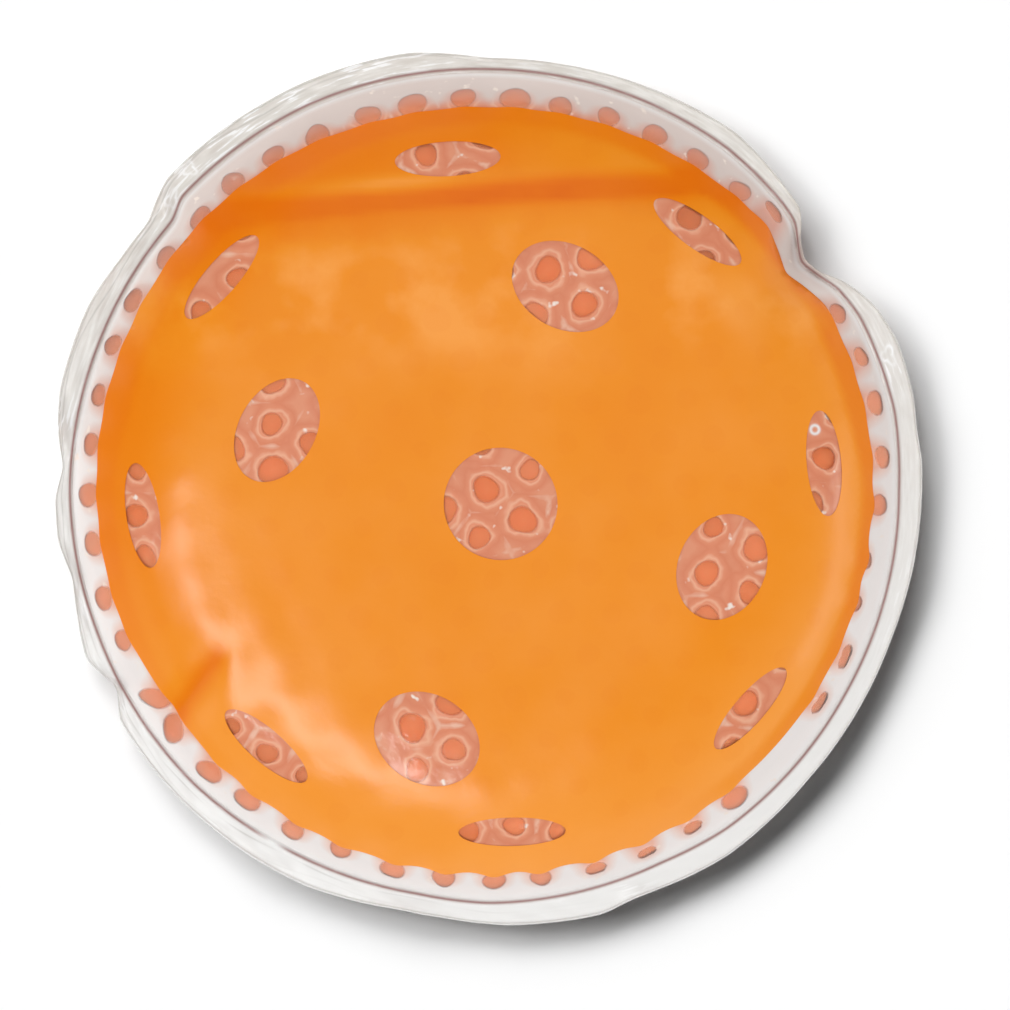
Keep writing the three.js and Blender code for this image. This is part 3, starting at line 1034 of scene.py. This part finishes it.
FINE_BEAD = (32, 13)  # facets round a bead, and rings from its flat spot to its far end
COARSE_BEAD = (16, 9)
FILM_GAP = 0.02  # between a bead and a film


def bead_profile(patch, above, below, steps):
    """Half outline of a bead, from the middle of its flat spot to its far end: out and along. Above and
    below are its half heights on either side of its middle."""
    start = math.asin(patch / BEAD_ACROSS)
    turns = np.linspace(start, math.pi, steps)
    flat = above * math.cos(start)
    out = np.concatenate([[0, patch * 0.5, patch * 0.93], BEAD_ACROSS * np.sin(turns)])
    rounded = np.where(turns < math.pi / 2, above, below) * np.cos(turns)
    along = np.concatenate([[flat, flat, flat], rounded])
    out[-1] = 0
    along[3] -= 0.05
    return out, along


def bead_points(axis, out, along, form, segments):
    """A bead round its middle: the middle of its flat spot, its rings, and its far end."""
    around = np.arange(segments) * 2 * math.pi / segments
    other = np.cross(axis, [1.0, 0.0, 0.0])
    other /= np.linalg.norm(other)
    spokes = np.cos(around)[:, None] * np.cross(other, axis) + np.sin(around)[:, None] * other
    round_share = smooth(0, 6, np.arange(len(out)) - 3.0)[1:-1, None]
    shape = round_share + (1 - round_share) * spot_shape(around, form)
    rings = (out[1:-1, None] * shape)[..., None] * spokes[None] + along[1:-1, None, None] * axis
    return np.concatenate([[along[0] * axis], rings.reshape(-1, 3), [along[-1] * axis]])


def bead_faces(first, rings, segments):
    """Faces of a bead whose points are numbered from first: a fan at each end, and quads between."""
    last = first + 1 + rings * segments
    faces = []
    for s in range(segments):
        t = (s + 1) % segments
        faces.append((first, first + 1 + s, first + 1 + t))
        for here in range(first + 1, last - segments, segments):
            there = here + segments
            faces.append((here + s, there + s, there + t, here + t))
        faces.append((last - segments + s, last, last - segments + t))
    return faces


def make_beads(name, middles, axes, halves, patches, forms, detail, under_film, paleness=0.0):
    """Separate beads in one piece. Those under the film are cut to lie against its inner face."""
    rng = random_for(name)
    segments, steps = detail
    points, caps, shades, faces = [], [], [], []
    for middle, axis, (above, below), patch, form in zip(middles, axes, halves, patches, forms):
        out, along = bead_profile(patch, above, below, steps)
        faces += bead_faces(sum(map(len, points)), len(out) - 2, segments)
        points.append(bead_points(axis, out, along, form, segments) + middle)
        cap = np.where(np.arange(len(out)) < len(out) // 2, out / patch, FIELD_LIMIT)
        caps.append(np.concatenate([[0], np.repeat(cap[1:-1], segments), [FIELD_LIMIT]]))
        # how pale a bead is painted: a random tone, plus painted light on the rim beads
        shades.append(np.full(len(points[-1]), paleness + rng.uniform(0, 0.3)))
    points = np.concatenate(points)
    x, y = points[:, 0], points[:, 1]
    points[:, 2] = np.maximum(points[:, 2], back_height(x, y) + FILM_THICKNESS + FILM_GAP)
    if under_film:
        points[:, 2] = np.minimum(points[:, 2], inner_height(x, y) - FILM_GAP)
    piece = make_object(f"{name}_gel", points, faces, [SALMON_GEL])
    paint(piece, "cap", np.minimum(np.concatenate(caps), FIELD_LIMIT))
    paint(piece, "shade", np.concatenate(shades))
    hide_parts(name)


def make_touching_beads(name, chosen, paleness=0.0):
    """Beads that press on the front film, each square to it, and reach down to the lower layer."""
    places, patches, forms = CONTACTS[chosen], PATCHES[chosen], SPOT_FORMS[chosen]
    x, y = places.T
    axes = dome_normal(x, y)
    contact = np.stack([x, y, front_height(x, y)], -1)
    depth = BEAD_ALONG * np.sqrt(1 - (patches / BEAD_ACROSS) ** 2) + FILM_THICKNESS
    middles = contact - axes * depth[:, None]
    below = np.maximum(middles[:, 2] - LAYERS_MEET, BEAD_ALONG)
    halves = np.column_stack([np.full(len(below), BEAD_ALONG), below])
    make_beads(name, middles, axes, halves, patches, forms, FINE_BEAD, under_film=True, paleness=paleness)


def make_upper_beads():
    """Each settled bead belongs to the CAD row that lies nearest to it."""
    names = ["shoulder_beads"] + [f"upper_beads_{row}" for row in range(1, LAYER_ROWS + 1)]
    radii = np.array([frame_radius(name) for name in names])
    reach = np.hypot(*UPPER_PLACES.T)
    nearest = np.abs(reach[:, None] - radii).argmin(1)
    for i, name in enumerate(names):
        make_touching_beads(name, np.flatnonzero(nearest == i))


def make_lower_beads():
    """The layer that lies on the back film, seen only dimly."""
    for row in range(1, LAYER_ROWS + 1):
        name = f"lower_beads_{row}"
        rng = random_for(f"{name} places")
        radius = frame_radius(name)
        count = max(1, round(2 * math.pi * radius / BEAD_PITCH))
        turn = 2 * math.pi * (np.arange(count) + rng.uniform(0, 1) + rng.uniform(-0.06, 0.06, count)) / count
        height = np.full(count, FILM_THICKNESS + LOWER_BEAD_ALONG)
        middles = np.stack([radius * np.cos(turn), radius * np.sin(turn), height], -1)
        axes = np.tile([0.0, 0.0, 1.0], (count, 1))
        waves = rng.uniform(0, 2 * math.pi, (count, 2))
        forms = np.column_stack([waves, np.ones((count, 2))])
        halves = np.full((count, 2), LOWER_BEAD_ALONG)
        patches = rng.uniform(0.9, 1.3, count)
        make_beads(name, middles, axes, halves, patches, forms, COARSE_BEAD, under_film=False)


# ---- Stage ----

FLOOR_SIZE = 8.0  # metres


def make_floor():
    bpy.ops.mesh.primitive_plane_add(size=FLOOR_SIZE)
    floor = bpy.context.object
    floor.name = "floor"
    floor.data.materials.append(make_material("floor", floor_shader))
    return floor


def new_lamp(name, kind, power, azimuth, elevation, lit):
    """A lamp a metre from the pack's middle, turned towards it, that lights just some things. Azimuth is
    anticlockwise from +X, in degrees."""
    lamp = new_object(name, bpy.data.lights.new(name, kind))
    lamp.data.energy = power
    lamp.visible_camera = False
    turn, rise = math.radians(azimuth), math.radians(elevation)
    lamp.location = (math.cos(turn) * math.cos(rise), math.sin(turn) * math.cos(rise), math.sin(rise))
    lamp.rotation_mode = "QUATERNION"
    lamp.rotation_quaternion = lamp.location.to_track_quat("Z", "Y")
    group = bpy.data.collections.new(f"{name}_lights")
    for thing in lit:
        group.objects.link(thing)
    lamp.light_linking.receiver_collection = group
    return lamp


def softbox(name, azimuth, elevation, size, power, pieces, diffuse=True, gloss=True):
    lamp = new_lamp(name, "AREA", power, azimuth, elevation, pieces)
    lamp.data.shape = "RECTANGLE"
    lamp.data.size, lamp.data.size_y = size
    lamp.visible_diffuse = diffuse
    lamp.visible_glossy = gloss


def make_lights(pieces, band, gel, floor):
    """A fan of distant soft keys for the floor alone, and softboxes for the pack. The gel has some of
    its own, in place of light that passes on inside it."""
    for number, azimuth in enumerate((100, 123, 147, 170)):
        key = new_lamp(f"floor_key_{number}", "SUN", 1.33, azimuth, 37, [floor])
        key.data.angle = math.radians(30)
    not_gel = [piece for piece in pieces if piece not in gel]
    softbox("overhead", 80, 72, (0.9, 0.9), 3.6, pieces, gloss=False)
    softbox("low_left", 225, 63, (0.68, 0.22), 5.1, not_gel)
    softbox("right", -12, 30, (0.5, 0.16), 1.0, pieces)
    for side, azimuth in enumerate((20, 110, 200, 290)):
        softbox(f"side_fill_{side}", azimuth, 26, (0.5, 0.3), 2.0, pieces, gloss=False)
    softbox("gel_glow", 80, 80, (0.9, 0.9), 2.4, gel, gloss=False)
    softbox("gel_low_left", 225, 63, (0.68, 0.22), 4.4, gel, gloss=False)
    softbox("gel_back_right", 60, 40, (0.9, 0.3), 1.2, gel, gloss=False)
    softbox("gel_front_right", 310, 40, (0.9, 0.3), 2.6, gel, gloss=False)
    softbox("glint_left", 165, 62, (0.05, 0.3), 0.4, [band], diffuse=False)
    softbox("glint_top", 100, 60, (0.3, 0.05), 0.4, [band], diffuse=False)


def make_world():
    """A white wall all round, low down, in a dim studio."""
    world = bpy.data.worlds.new("studio")
    world.use_nodes = True
    tree = Shading(world.node_tree)
    direction = tree.add("SeparateXYZ", {"Vector": tree.add("TexCoord").outputs["Generated"]})
    sky = tree.ramp(direction.outputs["Z"], [(0.18, 1.0), (0.3, 0.03)])
    tree.feed(tree.nodes["Background"].inputs["Color"], sky)
    bpy.context.scene.world = world


VIEW_WIDTH = 133.0  # millimetres across the picture at the height of the rim
CAMERA_HEIGHT = 800.0
CAMERA_OFFSET = (2.17, -2.04)  # the pack lies a little up and left of the picture's middle


def make_camera():
    """A camera straight above, far enough away to see the pack almost without perspective."""
    camera = new_object("camera", bpy.data.cameras.new("camera"))
    camera.data.sensor_width = 36.0
    camera.data.lens = camera.data.sensor_width * (CAMERA_HEIGHT - WELD_HEIGHT) / VIEW_WIDTH
    camera.location = (PACK_MIDDLE.x + CAMERA_OFFSET[0] * MM, PACK_MIDDLE.y + CAMERA_OFFSET[1] * MM,
                       CAMERA_HEIGHT * MM)
    bpy.context.scene.camera = camera


make_camera()
already = set(bpy.context.scene.objects)
make_print()
make_front_sheet()
make_back_sheet()
band = make_band()
# the rim beads are painted paler, as painted light
make_touching_beads("rim_beads", np.arange(len(UPPER_PLACES), len(CONTACTS)), paleness=0.5)
make_upper_beads()
make_lower_beads()
pieces = [thing for thing in bpy.context.scene.objects if thing not in already]
gel = [thing for thing in pieces if thing.name.endswith("_gel")]
make_lights(pieces, band, gel, make_floor())
make_world()
bpy.context.scene.view_settings.view_transform = "Standard"
